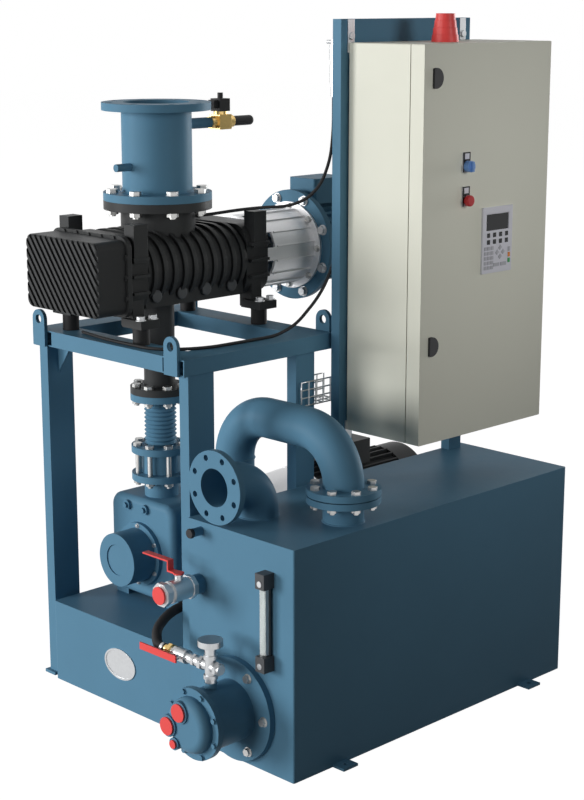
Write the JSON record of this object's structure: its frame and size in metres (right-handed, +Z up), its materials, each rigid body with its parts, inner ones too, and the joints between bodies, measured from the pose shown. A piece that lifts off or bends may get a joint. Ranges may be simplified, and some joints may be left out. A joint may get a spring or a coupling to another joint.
{
  "type": "roots vacuum pump",
  "caption": "Skid-mounted roots vacuum pump on a frame, backed by a liquid ring pump, with separator tank, cooler, level gauge, valves and a control cabinet with hinged door.",
  "frame": {"origin": "on the floor, straight below the centre of the suction flange", "axes": "+Z up along the suction flange axis, +X towards the cabinet door and the tank, -Y towards the front with the cooler and the outlet flange"},
  "size_m": [1.233, 1.661, 2.146],
  "materials": {
    "blue_paint": "satin",
    "black_paint": "satin",
    "cream_paint": "satin",
    "dark_plastic": "matte",
    "grey_plastic": "matte",
    "red_plastic": "gloss",
    "blue_plastic": "gloss",
    "zinc": "zinc plated",
    "galvanised": "galvanised",
    "cast_alloy": "as cast",
    "rotor_iron": "machined",
    "gear_steel": "ground",
    "stainless": "polished",
    "brass": "satin",
    "rubber": "matte",
    "clear": "clear",
    "silencer_dark": "matte"
  },
  "bodies": {
    "skid": {"plinth": "blue_paint", "separator_tank": "blue_paint", "frame_legs": "blue_paint", "frame_beams": "blue_paint", "frame_gussets": "blue_paint", "lifting_lugs": "blue_paint", "portal": "blue_paint", "cabinet_brackets": "stainless", "cabinet_body": "cream_paint", "mounting_plate": "galvanised", "control_gear": "grey_plastic", "beacon": "red_plastic", "blower_casing": "black_paint", "gear_end_plate": "black_paint", "motor_end_plate": "black_paint", "gear_cover": "black_paint", "blower_bearings": "gear_steel", "blower_feet": "rubber", "inlet_pipe": "blue_paint", "bleed_valve": "brass", "bleed_filter": "silencer_dark", "bell_housing": "cast_alloy", "blower_motor": "blue_paint", "motor_terminal_box": "blue_paint", "motor_fan_cowl": "blue_paint", "bellows": "blue_paint", "check_valve_body": "blue_paint", "backing_casing": "blue_paint", "backing_cover": "blue_paint", "backing_bell": "cast_alloy", "backing_motor": "black_paint", "discharge_pipe": "blue_paint", "discharge_elbow": "blue_paint", "flange_bolts": "zinc", "cooler_shell": "blue_paint", "cooler_head": "blue_paint", "red_caps": "red_plastic", "drain_valve": "stainless", "water_fittings": "stainless", "hose_tail": "brass", "service_hose": "rubber", "level_gauge": "dark_plastic", "gauge_glass": "clear", "regulator": "stainless", "vacuum_line": "rubber"},
    "door": {"cabinet_door": "cream_paint", "operator_panel": "grey_plastic"},
    "upper_latch": {"latch_upper": "dark_plastic"},
    "lower_latch": {"latch_lower": "dark_plastic"},
    "selector": {"selector_knob": "blue_plastic"},
    "stop": {"stop_button": "red_plastic"},
    "drain_handle": {"drain_lever": "red_plastic"},
    "water_handle": {"water_lever": "red_plastic"},
    "drive_shaft": {"drive_rotor": "rotor_iron", "drive_gear": "gear_steel"},
    "driven_shaft": {"driven_rotor": "rotor_iron", "driven_gear": "gear_steel"},
    "motor_shaft": {"motor_coupling": "gear_steel"},
    "backing_shaft": {"backing_impeller": "rotor_iron"},
    "check_plate": {"check_disc": "stainless"}
  },
  "joints": [
    {"name": "door_hinge", "type": "hinge", "parent": "skid", "child": "door", "pos_m": [0.7405, 0.954, 0.861], "axis": [0, 0, 1], "range_deg": [0, 120]},
    {"name": "upper_latch_turn", "type": "hinge", "parent": "door", "child": "upper_latch", "pos_m": [0.794, 0.394, 1.963], "axis": [1, 0, 0], "range_deg": [0, 90]},
    {"name": "lower_latch_turn", "type": "hinge", "parent": "door", "child": "lower_latch", "pos_m": [0.794, 0.394, 1.164], "axis": [1, 0, 0], "range_deg": [0, 90]},
    {"name": "selector_turn", "type": "hinge", "parent": "door", "child": "selector", "pos_m": [0.794, 0.542, 1.698], "axis": [1, 0, 0], "range_deg": [-45, 45]},
    {"name": "stop_press", "type": "slide", "parent": "door", "child": "stop", "axis": [-1, 0, 0], "range_m": [0, 0.005], "stiffness_N_per_m": 800},
    {"name": "drain_lever_turn", "type": "hinge", "parent": "skid", "child": "drain_handle", "pos_m": [0.505, -0.372, 0.558], "axis": [0, 0, 1], "range_deg": [0, 90]},
    {"name": "water_lever_turn", "type": "hinge", "parent": "skid", "child": "water_handle", "pos_m": [0.545, -0.429, 0.322], "axis": [0, -1, 0], "range_deg": [0, 90]},
    {"name": "motor_spin", "type": "hinge", "parent": "skid", "child": "motor_shaft", "pos_m": [0, 0, 1.378], "axis": [0, 1, 0], "continuous": true},
    {"name": "drive_spin", "type": "hinge", "parent": "skid", "child": "drive_shaft", "pos_m": [-0.062, 0, 1.378], "axis": [0, 1, 0], "continuous": true},
    {"name": "driven_spin", "type": "hinge", "parent": "skid", "child": "driven_shaft", "pos_m": [0.062, 0, 1.378], "axis": [0, 1, 0], "continuous": true},
    {"name": "backing_spin", "type": "hinge", "parent": "skid", "child": "backing_shaft", "pos_m": [0, 0, 0.432], "axis": [0, 1, 0], "continuous": true},
    {"name": "check_lift", "type": "slide", "parent": "skid", "child": "check_plate", "axis": [0, 0, 1], "range_m": [0, 0.012], "stiffness_N_per_m": 200, "springref_m": -0.02}
  ],
  "couplings": [
    {"joint": "motor_spin", "follows": "drive_spin", "ratio": -1},
    {"joint": "driven_spin", "follows": "drive_spin", "ratio": -1}
  ]
}
